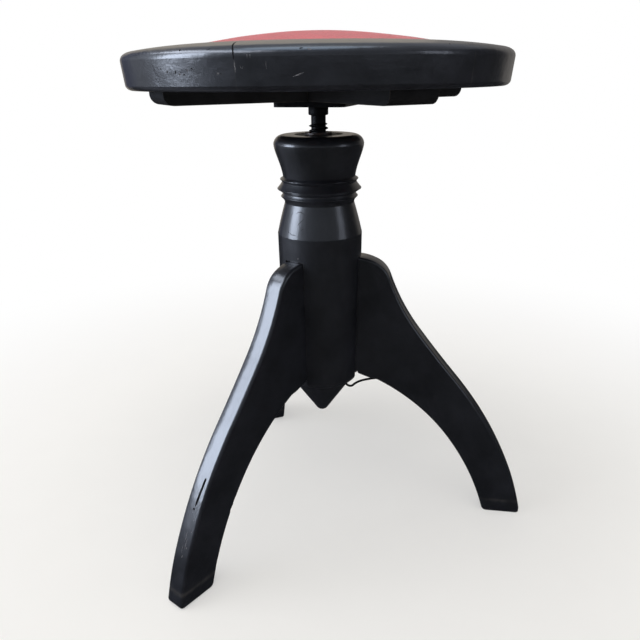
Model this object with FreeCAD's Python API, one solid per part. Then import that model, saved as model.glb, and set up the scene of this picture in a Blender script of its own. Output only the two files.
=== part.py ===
"""Revolving piano stool, in millimetres.

+Z is up. The origin is on the floor, on the column's axis. Leg 1 points along +X.
The seat stands at its resting height, a little above its lowest one. It turns on an iron
spindle whose thread climbs in a nut in the top of the column.
Threads are plain cylinders at their major diameter.
"""
import FreeCAD, Part
import math
import os

V = FreeCAD.Vector

# ---- driving dimensions ---------------------------------------------------------------
# seat ring: sawn segments glued end to end, with a rebate for the drop-in pad
seat_diameter = 360.0
ring_thickness = 36.0       # at the pad's opening, its thickest
ring_taper = 2.5            # the ring is this much smaller in radius at its lower edge
ring_crown = 4.5            # rise of the ring's top from its rounded edge to the opening
ring_top_round = 8.0
ring_bottom_round = 4.0
segment_count = 6
first_joint_angle = -17.0   # from the long batten
pad_opening_radius = 132.5
opening_edge_round = 1.2
ledge_width = 13.5          # of the ledge that carries the pad
ledge_thickness = 10.0
ring_dowel_diameter = 8.0
ring_dowel_length = 40.0
ring_dowel_inset = 14.0     # from the ring's outside, and from its rebate, to the dowels

# drop-in pad
pad_clearance = 0.8         # round the leather in its opening
leather_thickness = 1.5
turn_under_width = 24.0
board_thickness = 9.0
seat_crown = 13.2           # the pad's middle above the ring
pad_edge_drop = 1.8         # the pad's edge below the ring's top
tack_count = 12
tack_shank_diameter = 1.6
tack_head_diameter = 5.0
tack_head_thickness = 0.8
tack_length = 7.0

# battens under the seat
batten_reach = 24.5         # past the pad's opening, at each end
batten_width = 46.0
batten_thickness = 12.0
batten_end_round = 9.0
batten_angle = 37.2         # long batten, at rest
batten_screw_inset = 6.5    # from the pad's opening
batten_screw_spacing = 22.0
wood_screw_diameter = 4.0
wood_screw_head_diameter = 8.0
wood_screw_head_height = 2.4
batten_screw_length = 26.0
plate_screw_length = 13.0
nut_screw_length = 22.0

# spindle and plate
plate_side = 70.0
plate_corner_radius = 7.0
plate_thickness = 5.0
plate_screw_circle = 78.0
collar_diameter = 19.5
collar_length = 8.5
neck_diameter = 14.4
neck_length = 7.5
thread_diameter = 19.0
thread_pitch = 4.5
spindle_end_chamfer = 2.0
rivet_diameter = 12.0
stop_pin_diameter = 4.0
stop_pin_length = 23.0
stop_pin_from_end = 7.0
rest_clearance = 16.0       # collar above the washer at rest
turns_up = 24
pin_clearance_up = 4.0      # stop pin to nut, fully raised

# nut and washer
nut_flange_diameter = 48.0
nut_flange_thickness = 3.0
nut_body_diameter = 30.0
nut_length = 38.0
thread_clearance = 0.08
nut_screw_circle = 39.0
nut_screw_count = 3
washer_diameter = 27.0
washer_thickness = 2.0
washer_clearance = 0.35

# turned column
column_height = 421.5
column_foot_height = 165.0  # lower end of the long taper
column_tip_height = 115.3
tip_radius = 6.0            # where the cone turns into its rounded tip
tip_rise = 2.7
head_flat_radius = 34.5
head_radius = 45.0
head_shoulder = 8.5
head_waist_radius = 36.5
head_waist_drop = 40.1      # from the top
fin_radii = (39.2, 42.3, 38.8)      # of the three sharp beads' tips
fin_drops = (42.7, 52.1, 59.9)      # from the top to the tips
fin_tip_height = 0.9
fin_tip_fullness = 0.3
fin_hollow = 0.2
fin_valleys = ((37.6, 45.5), (36.9, 56.5), (35.8, 63.9))    # radius, and drop from the top
neck_radius = 35.4
neck_drop = 66.1            # from the top
swell_radius = 43.6
swell_drop = 97.5           # from the top, where a fine arris ends the swelling
swell_bulge = 0.3
taper_bulge = 0.4
foot_radius = 40.3
foot_round = 6.6
shaft_bore_diameter = 26.0
shaft_bore_depth = 190.0

# legs: sawn boards in shallow housings in the column
leg_count = 3
leg_thickness = 22.0
leg_root_radius = 37.0      # from the axis to the leg's flat inner edge
leg_top_height = 300.5
leg_joint_bottom = 169.0
toe_radius = 231.0
foot_length = 42.5
leg_edge_round = 3.0
toe_round = 4.5
heel_round = 6.0
leg_brow = (37.5, -21.6)    # from the joint's top: the end of the leg's rounded head
leg_shin = (112.0, -136.0)  # from the joint's top: the leg's outer edge at its flattest
leg_calf = (154.5, -198.0)  # from the joint's top: where the outer edge turns down again
leg_crotch = (28.0, -9.0)   # from the joint's bottom: on the leg's lower edge
leg_chin = (15.0, -5.6)     # from the joint's bottom: the lower edge nearest the column
leg_relief_width = 5.6      # the leg's inner lower corner is cut back clear of the column
leg_relief_height = 14.5
housing_gap = 0.6           # each side of a leg, at its housing's mouth
housing_gap_depth = 0.9     # at the column's foot
leg_dowel_diameter = 10.0
leg_dowel_depth = 16.0      # into the column
leg_dowel_reach = 30.0      # into the leg
leg_dowel_inset = 34.0      # from the joint's top and bottom

# wire stay
wire_diameter = 1.6

# ---- levels and radii that follow -------------------------------------------------------
thread_radius = thread_diameter / 2
nut_bottom = column_height - nut_length
washer_top = column_height + washer_thickness
collar_bottom = washer_top + rest_clearance
plate_bottom = collar_bottom + collar_length
batten_bottom = plate_bottom + plate_thickness
ring_bottom = batten_bottom + batten_thickness
ring_top = ring_bottom + ring_thickness
ledge_top = ring_bottom + ledge_thickness
board_bottom = ledge_top + leather_thickness
board_top = board_bottom + board_thickness
seat_radius = seat_diameter / 2
cover_radius = pad_opening_radius - pad_clearance
board_radius = cover_radius - leather_thickness
ledge_radius = pad_opening_radius - ledge_width
batten_length = 2 * (pad_opening_radius + batten_reach)
batten_screw_circle = 2 * (pad_opening_radius + batten_screw_inset)
lift_up = turns_up * thread_pitch
pin_height = nut_bottom - lift_up - pin_clearance_up - stop_pin_diameter / 2
spindle_end = pin_height - stop_pin_from_end
joint_step = 360.0 / segment_count
ring_dowel_radii = (pad_opening_radius + ring_dowel_inset, seat_radius - ring_dowel_inset)
ring_dowel_height = ring_bottom + ring_thickness / 2


# ---- helpers ----------------------------------------------------------------------------
def save(shape, node):
    """Write one node, whose solids are cleaned of split faces."""
    shape.exportStep(os.path.join("parts", node + ".step"))


def at(radius, height):
    """A point in the XZ half-plane."""
    return V(radius, 0, height)


def line(a, b):
    return Part.LineSegment(a, b).toShape()


def arc(a, middle, b):
    return Part.Arc(a, middle, b).toShape()


def bezier(*poles):
    curve = Part.BezierCurve()
    curve.setPoles(list(poles))
    return curve.toShape()


def tangent_arc(start, direction, end):
    """The arc from start to end that sets out along direction."""
    chord = end - start
    across = V(-direction.z, 0, direction.x)
    turn = math.atan2(chord.dot(across), chord.dot(direction))
    side = V(chord.z, 0, -chord.x)
    return arc(start, (start + end) * 0.5 + side * (math.tan(turn / 2) / 2), end)


def sweeps(stations):
    """Arcs that run smoothly through (radius, height, direction in degrees), two a stretch."""
    edges = []
    for (ra, za, da), (rb, zb, db) in zip(stations, stations[1:]):
        a, b = at(ra, za), at(rb, zb)
        ta = at(*polar(1, da))
        tb = at(*polar(1, db))
        way = b - a
        both = ta + tb
        bend = 2 * (1 - ta.dot(tb))
        if bend < 1e-9:
            reach = way.dot(way) / (4 * way.dot(tb))
        else:
            reach = (math.sqrt(way.dot(both) ** 2 + bend * way.dot(way)) - way.dot(both)) / bend
        middle = (a + b + (ta - tb) * reach) * 0.5
        edges.append(tangent_arc(a, ta, middle))
        edges.append(tangent_arc(b, tb * -1, middle))
    return edges


def bulge(a, b, height):
    """An arc from a to b that stands out by height to the left of the way from a to b."""
    middle = (a + b) * 0.5
    along = (b - a).normalize()
    return arc(a, middle + V(-along.z, 0, along.x) * height, b)


def turned(edges):
    """A solid of revolution from edges in the XZ half-plane that start and end on the axis."""
    face = Part.Face(Part.Wire(edges))
    return face.revolve(V(0, 0, 0), V(0, 0, 1), 360)


def outline(points):
    """Straight edges through the points."""
    return [line(a, b) for a, b in zip(points, points[1:])]


def closed(points):
    return outline(points + points[:1])


def cylinder(radius, low, high, x=0.0, y=0.0):
    return Part.makeCylinder(radius, high - low, V(x, y, low))


def spun(shape, angle):
    """The shape turned about the column's axis."""
    copy = shape.copy()
    copy.rotate(V(0, 0, 0), V(0, 0, 1), angle)
    return copy


def polar(radius, angle):
    return radius * math.cos(math.radians(angle)), radius * math.sin(math.radians(angle))


def wood_screw(x, y, face, length, up):
    """A countersunk screw whose head lies level with the face; up is +1 or -1."""
    shank = wood_screw_diameter / 2
    head = wood_screw_head_diameter / 2
    screw = turned(closed([
        at(0, 0),
        at(head, 0),
        at(shank, wood_screw_head_height),
        at(shank, length),
        at(0, length),
    ]))
    if up < 0:
        screw.rotate(V(0, 0, 0), V(1, 0, 0), 180)
    screw.translate(V(x, y, face))
    return screw


# ---- base -------------------------------------------------------------------------------
def fins(start):
    """Edges down three sharp beads from start; their tips are rounded and their faces hollow."""
    edges = []
    for radius, drop, (valley_radius, valley_drop) in zip(fin_radii, fin_drops, fin_valleys):
        upper = at(radius, column_height - drop + fin_tip_height / 2)
        lower = at(radius, column_height - drop - fin_tip_height / 2)
        valley = at(valley_radius, column_height - valley_drop)
        edges.append(bulge(start, upper, -fin_hollow))
        edges.append(bulge(upper, lower, fin_tip_fullness))
        edges.append(bulge(lower, valley, -fin_hollow))
        start = valley
    return edges


def column_blank():
    """The turned outside, from the flat top down over the beads to the pointed foot."""
    top = column_height
    shoulder_low = at(head_radius, top - head_shoulder)
    waist = at(head_waist_radius, top - head_waist_drop)
    last_valley = at(fin_valleys[-1][0], top - fin_valleys[-1][1])
    neck = at(neck_radius, top - neck_drop)
    swell = at(swell_radius, top - swell_drop)
    foot = at(foot_radius, column_foot_height)
    cone_edge = at(foot_radius - foot_round, column_foot_height - foot_round)
    tip_side = at(tip_radius, column_tip_height + tip_rise)
    tip = at(0, column_tip_height)
    diagonal = math.sqrt(0.5)
    shoulder_middle = at(
        head_flat_radius + (head_radius - head_flat_radius) * diagonal,
        top - head_shoulder * (1 - diagonal),
    )
    edges = [
        line(at(0, top), at(head_flat_radius, top)),
        arc(at(head_flat_radius, top), shoulder_middle, shoulder_low),
        bezier(shoulder_low, shoulder_low - V(0.4, 0, 8), waist + V(1.4, 0, 12), waist),
    ]
    edges += fins(waist)
    edges += [
        line(last_valley, neck),
        bulge(neck, swell, swell_bulge),
        bulge(swell, foot, taper_bulge),
        bulge(foot, cone_edge, foot_round * (diagonal - 0.5)),
        line(cone_edge, tip_side),
        tangent_arc(tip, V(1, 0, 0), tip_side),
        line(tip, at(0, top)),
    ]
    return turned(edges)


def nut_body(extra=0.0):
    """The nut's outside, flange and barrel."""
    flange = cylinder(nut_flange_diameter / 2 + extra, column_height - nut_flange_thickness, column_height)
    barrel = cylinder(nut_body_diameter / 2 + extra, nut_bottom, column_height - nut_flange_thickness)
    return flange.fuse(barrel)


def make_nut_screws():
    screws = []
    for i in range(nut_screw_count):
        x, y = polar(nut_screw_circle / 2, 360.0 * i / nut_screw_count + 30)
        screws.append(wood_screw(x, y, column_height, nut_screw_length, -1))
    return screws


def leg_outline():
    """The sawn outline of a leg, in the XZ plane, smooth but for its root, toe and heel."""
    root = leg_root_radius
    top, bottom = leg_top_height, leg_joint_bottom
    heel = toe_radius - foot_length
    lean = math.degrees(math.atan2(-leg_chin[1], -leg_chin[0]))
    over = sweeps([
        (root, top, 0),
        (root + leg_brow[0], top + leg_brow[1], -70.5),
        (root + leg_shin[0], top + leg_shin[1], -50.5),
        (root + leg_calf[0], top + leg_calf[1], -61),
        (toe_radius, 0, -78.5),
    ])
    under = sweeps([
        (heel, 0, 105),
        (root + leg_crotch[0], bottom + leg_crotch[1], 153.5),
        (root + leg_chin[0], bottom + leg_chin[1], lean),
    ])
    under.append(line(at(root + leg_chin[0], bottom + leg_chin[1]), at(root, bottom)))
    sole = [line(at(toe_radius, 0), at(heel, 0))]
    joint = [line(at(root, bottom), at(root, top))]
    return over + sole + under + joint


def make_leg():
    """Leg 1, along +X, with its long edges and its toe and heel rounded."""
    face = Part.Face(Part.Wire(leg_outline()))
    face.translate(V(0, -leg_thickness / 2, 0))
    board = face.extrude(V(0, leg_thickness, 0))
    for radius, x in ((toe_round, toe_radius), (heel_round, toe_radius - foot_length)):
        end = []
        for edge in board.Edges:
            box = edge.BoundBox
            if box.YLength > leg_thickness / 2 and box.ZMax < 1.0 and abs(box.Center.x - x) < 1.0:
                end.append(edge)
        board = board.makeFillet(radius, end)
    sides = []
    for edge in board.Edges:
        box = edge.BoundBox
        on_side = box.YLength < 1e-6
        on_root = box.XMax < leg_root_radius + 1e-6
        if on_side and not on_root:
            sides.append(edge)
    return board.makeFillet(leg_edge_round, sides).cut(leg_relief())


def leg_relief():
    """The wedge cut from a leg's inner lower corner, outside the column."""
    inside = foot_radius + 0.3
    low = leg_joint_bottom - 2 * leg_relief_width
    corners = [at(inside, low), at(inside + leg_relief_width, low), at(inside, low + leg_relief_height)]
    wedge = Part.Face(Part.Wire(closed(corners)))
    wedge.translate(V(0, -leg_thickness, 0))
    return wedge.extrude(V(0, 2 * leg_thickness, 0))


def leg_dowel_heights():
    return leg_joint_bottom + leg_dowel_inset, leg_top_height - leg_dowel_inset


def make_leg_dowels(angle):
    dowels = []
    start = leg_root_radius - leg_dowel_depth
    for height in leg_dowel_heights():
        dowel = Part.makeCylinder(
            leg_dowel_diameter / 2, leg_dowel_depth + leg_dowel_reach, V(start, 0, height), V(1, 0, 0)
        )
        dowels.append(spun(dowel, angle))
    return dowels


def housing(angle):
    """The flat-bottomed groove that takes a leg's inner edge, a little wider at its mouth."""
    low = column_foot_height - foot_round
    high = leg_top_height
    mouth = foot_radius - housing_gap_depth
    wide = leg_thickness + 2 * housing_gap
    groove = Part.makeBox(
        leg_root_radius, leg_thickness, high - low, V(leg_root_radius, -leg_thickness / 2, low)
    )
    gap = Part.makeBox(leg_root_radius, wide, high - low, V(mouth, -wide / 2, low))
    return spun(groove.fuse(gap), angle)


def make_wire():
    """The wire, from the foot's cone down in a small loop and up to the underside of leg 1."""
    reach, height = foot_radius, column_foot_height
    spine = Part.Wire(sweeps([
        (reach - 15.8, height - 12.8, -40),
        (reach - 7.9, height - 18.7, 0),
        (reach - 1.5, height - 14.5, 36),
        (reach + 8.7, height - 9.8, 17),
        (reach + 32.2, height - 5.0, 9),
    ]))
    start = spine.OrderedVertexes[0].Point
    section = Part.Wire([Part.makeCircle(wire_diameter / 2, start, at(*polar(1, -40)))])
    return spine.makePipeShell([section], True, True)


def make_base():
    leg_angles = [360.0 * i / leg_count for i in range(leg_count)]
    column = column_blank()
    column = column.cut(nut_body())
    bore_bottom = column_height - shaft_bore_depth
    column = column.cut(cylinder(shaft_bore_diameter / 2, bore_bottom, nut_bottom))
    nut = nut_body().cut(cylinder(thread_radius + thread_clearance, nut_bottom, column_height))
    nut_screws = make_nut_screws()
    for screw in nut_screws:
        column = column.cut(screw)
        nut = nut.cut(screw)
    wire = make_wire()
    column = column.cut(wire)
    leg_dowels = []
    for number, angle in enumerate(leg_angles, 1):
        dowels = make_leg_dowels(angle)
        leg = spun(make_leg(), angle)
        column = column.cut(housing(angle))
        for dowel in dowels:
            leg = leg.cut(dowel)
            column = column.cut(dowel)
        if number == 1:
            leg = leg.cut(wire)
        leg_dowels += dowels
        save(leg, "leg_%d" % number)
    save(column, "column")
    save(nut, "spindle_nut")
    save(Part.makeCompound(nut_screws), "nut_screws")
    save(Part.makeCompound(leg_dowels), "leg_dowels")
    save(wire, "wire_stay")


# ---- seat -------------------------------------------------------------------------------
def ring_blank():
    """The whole ring, before it is divided into its segments."""
    low, high = ring_bottom, ring_top
    outside = seat_radius - ring_taper
    shoulder = high - ring_crown - ring_top_round
    edge = opening_edge_round
    corner = ring_bottom_round
    rise = math.degrees(math.atan2(ring_crown, seat_radius - ring_top_round - pad_opening_radius))
    lean = math.degrees(math.atan2(shoulder - low, ring_taper))
    foot = at(outside - corner, low)
    side = at(outside + ring_taper * corner / (shoulder - low), low + corner)
    lip = at(pad_opening_radius + edge, high)
    profile = [line(at(ledge_radius, low), foot)]
    profile.append(bulge(foot, side, -corner * (math.sqrt(0.5) - 0.5)))
    profile.append(line(side, at(seat_radius, shoulder)))
    profile += sweeps([
        (seat_radius, shoulder, lean),
        (seat_radius - ring_top_round, high - ring_crown, 180 - rise * 1.5),
        (lip.x, lip.z, 180 - rise * 0.6),
    ])
    profile.append(bulge(lip, at(pad_opening_radius, high - edge), -edge * (math.sqrt(0.5) - 0.5)))
    profile += outline([
        at(pad_opening_radius, high - edge),
        at(pad_opening_radius, ledge_top),
        at(ledge_radius, ledge_top),
        at(ledge_radius, low),
    ])
    face = Part.Face(Part.Wire(profile))
    return face.revolve(V(0, 0, 0), V(0, 0, 1), 360)


def wedge(start, sweep):
    """A sector that holds one segment."""
    reach = seat_radius * 2
    half = sweep / 2
    near = V(0, 0, ring_bottom - 1)
    first = V(*polar(reach, -half), ring_bottom - 1)
    last = V(*polar(reach, half), ring_bottom - 1)
    face = Part.Face(Part.makePolygon([near, first, last, near]))
    return spun(face.extrude(V(0, 0, ring_thickness + 2)), start + half)


def make_ring_dowels():
    dowels = []
    for i in range(segment_count):
        angle = first_joint_angle + joint_step * i
        for radius in ring_dowel_radii:
            dowel = Part.makeCylinder(
                ring_dowel_diameter / 2,
                ring_dowel_length,
                V(radius, -ring_dowel_length / 2, ring_dowel_height),
                V(0, 1, 0),
            )
            dowels.append(spun(dowel, angle))
    return dowels


def batten_blank():
    """A full-length batten along X, its two lower end edges rounded."""
    half = batten_length / 2
    box = Part.makeBox(
        batten_length, batten_width, batten_thickness, V(-half, -batten_width / 2, batten_bottom)
    )
    ends = []
    for edge in box.Edges:
        bounds = edge.BoundBox
        if bounds.YLength > batten_width / 2 and bounds.ZMax < batten_bottom + 1e-6:
            ends.append(edge)
    return box.makeFillet(batten_end_round, ends)


def half_lap(upper):
    """The half of the crossing that is cut from one batten."""
    low = batten_bottom + (batten_thickness / 2 if upper else 0)
    half = batten_width / 2
    return Part.makeBox(batten_width, batten_width, batten_thickness / 2, V(-half, -half, low))


def make_batten_screws():
    screws = []
    for arm in range(4):
        for side in (-0.5, 0.5):
            screw = wood_screw(
                batten_screw_circle / 2, side * batten_screw_spacing, batten_bottom, batten_screw_length, 1
            )
            screws.append(spun(screw, 90.0 * arm))
    return screws


def make_plate():
    """The square plate, its corners over the battens' middle lines."""
    half = plate_side / 2
    plate = Part.makeBox(plate_side, plate_side, plate_thickness, V(-half, -half, plate_bottom))
    upright = [e for e in plate.Edges if e.BoundBox.ZLength > plate_thickness / 2]
    plate = plate.makeFillet(plate_corner_radius, upright)
    plate = plate.cut(cylinder(rivet_diameter / 2, plate_bottom, batten_bottom))
    return spun(plate, 45)


def make_plate_screws():
    screws = []
    for arm in range(4):
        screw = wood_screw(plate_screw_circle / 2, 0, plate_bottom, plate_screw_length, 1)
        screws.append(spun(screw, 90.0 * arm))
    return screws


def make_spindle():
    """Riveted end, collar, neck and the threaded length with its pin hole."""
    neck_bottom = collar_bottom - neck_length
    chamfer = spindle_end_chamfer
    spindle = turned(closed([
        at(0, batten_bottom),
        at(rivet_diameter / 2, batten_bottom),
        at(rivet_diameter / 2, plate_bottom),
        at(collar_diameter / 2, plate_bottom),
        at(collar_diameter / 2, collar_bottom + 1),
        at(collar_diameter / 2 - 1, collar_bottom),
        at(neck_diameter / 2, collar_bottom),
        at(neck_diameter / 2, neck_bottom),
        at(thread_radius - 1, neck_bottom),
        at(thread_radius, neck_bottom - 1),
        at(thread_radius, spindle_end + chamfer),
        at(thread_radius - chamfer, spindle_end),
        at(0, spindle_end),
    ]))
    return spindle.cut(make_stop_pin())


def make_stop_pin():
    half = stop_pin_length / 2
    return Part.makeCylinder(stop_pin_diameter / 2, stop_pin_length, V(-half, 0, pin_height), V(1, 0, 0))


def crown_radius(rise, reach):
    return (rise * rise + reach * reach) / (2 * rise)


def crown_height(radius, top, sphere):
    return top - sphere + math.sqrt(sphere * sphere - radius * radius)


def crown_arc(reach, top, sphere):
    """From the edge of the crown to its middle."""
    half = reach / 2
    return arc(
        at(reach, crown_height(reach, top, sphere)),
        at(half, crown_height(half, top, sphere)),
        at(0, top),
    )


def make_pad():
    """Board, stuffing and the leather that wraps both and turns under the board."""
    crown_top = ring_top + seat_crown
    cover_edge = ring_top - pad_edge_drop
    sphere = crown_radius(crown_top - cover_edge, cover_radius)
    inner_top = crown_top - leather_thickness
    inner_sphere = sphere - leather_thickness
    inner_edge = at(board_radius, crown_height(board_radius, inner_top, inner_sphere))
    stuffing = turned([
        line(at(0, board_top), at(board_radius, board_top)),
        line(at(board_radius, board_top), inner_edge),
        crown_arc(board_radius, inner_top, inner_sphere),
        line(at(0, inner_top), at(0, board_top)),
    ])
    board = cylinder(board_radius, board_bottom, board_top)
    turn_in = cover_radius - turn_under_width
    body = turned([
        line(at(0, ledge_top), at(cover_radius, ledge_top)),
        line(at(cover_radius, ledge_top), at(cover_radius, cover_edge)),
        crown_arc(cover_radius, crown_top, sphere),
        line(at(0, crown_top), at(0, ledge_top)),
    ])
    leather = body.cut(stuffing).cut(board).cut(cylinder(turn_in, ledge_top, board_bottom))
    return board, stuffing, leather


def make_tacks():
    """Tacks through the turned-under leather into the board, inside the ledge."""
    tacks = []
    radius = (cover_radius - turn_under_width + ledge_radius) / 2
    head = tack_head_diameter / 2
    shank = tack_shank_diameter / 2
    for i in range(tack_count):
        x, y = polar(radius, 360.0 * (i + 0.5) / tack_count)
        tack = cylinder(head, ledge_top - tack_head_thickness, ledge_top, x, y)
        tacks.append(tack.fuse(cylinder(shank, ledge_top, ledge_top + tack_length, x, y)))
    return tacks


def make_seat():
    ring = ring_blank()
    ring_dowels = make_ring_dowels()
    batten_screws = make_batten_screws()
    plate_screws = make_plate_screws()
    board, stuffing, leather = make_pad()
    tacks = make_tacks()
    for tack in tacks:
        board = board.cut(tack)
        leather = leather.cut(tack)
    long_batten = batten_blank().cut(half_lap(True))
    cross_batten = spun(batten_blank().cut(half_lap(False)), 90)
    plate = make_plate()
    spindle = make_spindle()
    for screw in plate_screws:
        plate = plate.cut(screw)
    for screw in batten_screws + plate_screws:
        long_batten = long_batten.cut(screw)
        cross_batten = cross_batten.cut(screw)
    for tool in ring_dowels + batten_screws:
        ring = ring.cut(tool)
    pieces = {
        "seat_board": board,
        "seat_stuffing": stuffing,
        "seat_leather": leather,
        "cover_tacks": Part.makeCompound(tacks),
        "ring_dowels": Part.makeCompound(ring_dowels),
        "long_batten": long_batten,
        "cross_batten": cross_batten,
        "batten_screws": Part.makeCompound(batten_screws),
        "spindle_plate": plate,
        "plate_screws": Part.makeCompound(plate_screws),
        "spindle": spindle,
        "stop_pin": make_stop_pin(),
    }
    for i in range(segment_count):
        start = first_joint_angle + joint_step * i
        pieces["ring_segment_%d" % (i + 1)] = ring.common(wedge(start, joint_step))
    for node, shape in pieces.items():
        save(spun(shape, batten_angle), node)


def make_washer():
    washer = cylinder(washer_diameter / 2, column_height, washer_top)
    save(washer.cut(cylinder(thread_radius + washer_clearance, column_height, washer_top)), "thrust_washer")


os.makedirs("parts", exist_ok=True)
make_base()
make_seat()
make_washer()
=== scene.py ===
"""Looks of the revolving piano stool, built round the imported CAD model.

The frame is the CAD model's own: the column's axis is Z, the floor is z = 0 and leg 1 points
along +X. Meshes are worked out in millimetres and made in metres.
"""
import math
import random

import bmesh
import bpy
from mathutils import Matrix, Quaternion, Vector, noise
from mathutils.bvhtree import BVHTree
from mathutils.interpolate import poly_3d_calc


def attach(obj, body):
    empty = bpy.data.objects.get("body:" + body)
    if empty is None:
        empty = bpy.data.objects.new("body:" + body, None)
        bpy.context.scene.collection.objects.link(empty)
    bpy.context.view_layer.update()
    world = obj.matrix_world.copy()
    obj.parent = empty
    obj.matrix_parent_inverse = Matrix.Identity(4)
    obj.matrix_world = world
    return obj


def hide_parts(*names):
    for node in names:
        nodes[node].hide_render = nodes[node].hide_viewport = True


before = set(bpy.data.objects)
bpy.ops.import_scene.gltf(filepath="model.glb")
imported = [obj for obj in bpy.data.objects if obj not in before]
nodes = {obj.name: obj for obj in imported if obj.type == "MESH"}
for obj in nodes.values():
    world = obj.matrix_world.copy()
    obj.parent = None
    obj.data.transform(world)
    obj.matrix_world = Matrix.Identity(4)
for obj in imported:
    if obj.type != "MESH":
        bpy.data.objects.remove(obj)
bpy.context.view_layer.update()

MM = 0.001
WELD_DISTANCE = 0.002 * MM

# ---- sizes that the CAD model fixes, in mm and degrees ----
RING_JOINT_ANGLE = 20.2      # of the first joint; the others are 60 degrees apart
RING_CORE_RADIUS = 165.0     # a point inside the ring's section
RING_CORE_HEIGHT = 485.0
LEDGE_TOP = 475.0
LEDGE_RADIUS = 119.0
COVER_RADIUS = 131.7
COVER_EDGE = 499.2
COVER_CROWN = 514.2
LEATHER_THICKNESS = 1.5
TURNED_UNDER_RADIUS = 107.7
BOARD_TOP = 485.5
BATTEN_BOTTOM = 453.0
BATTEN_ANGLE = 37.2
BATTEN_SCREW_RADIUS = 139.0
BATTEN_SCREW_ASIDE = 11.0
PLATE_BOTTOM = 448.0
PLATE_SCREW_RADIUS = 39.0
COLLAR_BOTTOM = 439.5
COLLAR_RADIUS = 9.75
NECK_BOTTOM = 432.0
NECK_RADIUS = 7.2
RIVET_RADIUS = 6.0
THREAD_RADIUS = 9.5
THREAD_PITCH = 4.5
SPINDLE_END = 262.5
COLUMN_TOP = 421.5
NUT_SCREW_RADIUS = 19.5


# ---- small helpers ----
def colour(hexadecimal):
    """An sRGB hex value as the linear colour that the shaders take."""
    channels = [int(hexadecimal[i:i + 2], 16) / 255 for i in (0, 2, 4)]
    return [c / 12.92 if c <= 0.04045 else ((c + 0.055) / 1.055) ** 2.4 for c in channels] + [1.0]


def polar(radius, angle):
    turn = math.radians(angle)
    return radius * math.cos(turn), radius * math.sin(turn)


def heading(azimuth, rise):
    """The direction at an azimuth, so many degrees above level."""
    level, up = polar(1, rise)
    return Vector((*polar(level, azimuth), up))


def smooth_step(low, high, value):
    t = min(1.0, max(0.0, (value - low) / (high - low)))
    return t * t * (3 - 2 * t)


def every(millimetres):
    """The texture scale at which a pattern repeats about every so many millimetres."""
    return 1.0 / (millimetres * MM)


def add(tree, kind, sockets=(), out=0, **settings):
    """Adds a node and gives its output; a socket takes a value or the output that feeds it."""
    made = tree.nodes.new("ShaderNode" + kind)
    for name, value in settings.items():
        setattr(made, name, value)
    for key, value in sockets.items() if isinstance(sockets, dict) else enumerate(sockets):
        if isinstance(value, bpy.types.NodeSocket):
            tree.links.new(value, made.inputs[key])
        else:
            made.inputs[key].default_value = value
    return made.outputs[out] if made.outputs else made


# the sockets of a Mix node that take colours; its sockets for numbers have the same names
SHARE, FIRST, SECOND, MIXED = 0, 6, 7, 2


def bare_material(name):
    """A new material with an empty node tree, and its object coordinates."""
    material = bpy.data.materials.new(name)
    material.use_nodes = True
    tree = material.node_tree
    tree.nodes.clear()
    return material, tree, add(tree, "TexCoord", out="Object")


def worn_edges(tree, radius, pattern):
    """Up to 1 on an edge that is sharper than a radius in mm, where a pattern is high."""
    rounded = add(tree, "Bevel", {"Radius": radius * MM}, samples=6)
    flat = add(tree, "NewGeometry", out="Normal")
    agree = add(tree, "VectorMath", [rounded, flat], "Value", operation="DOT_PRODUCT")
    starts, full = 0.995, 0.80    # cosine between the edge as it is and as it would be rounded
    edge = add(tree, "MapRange", [agree, starts, full, 0.0, 1.0])
    return add(tree, "Math", [edge, pattern], operation="MULTIPLY")


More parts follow.
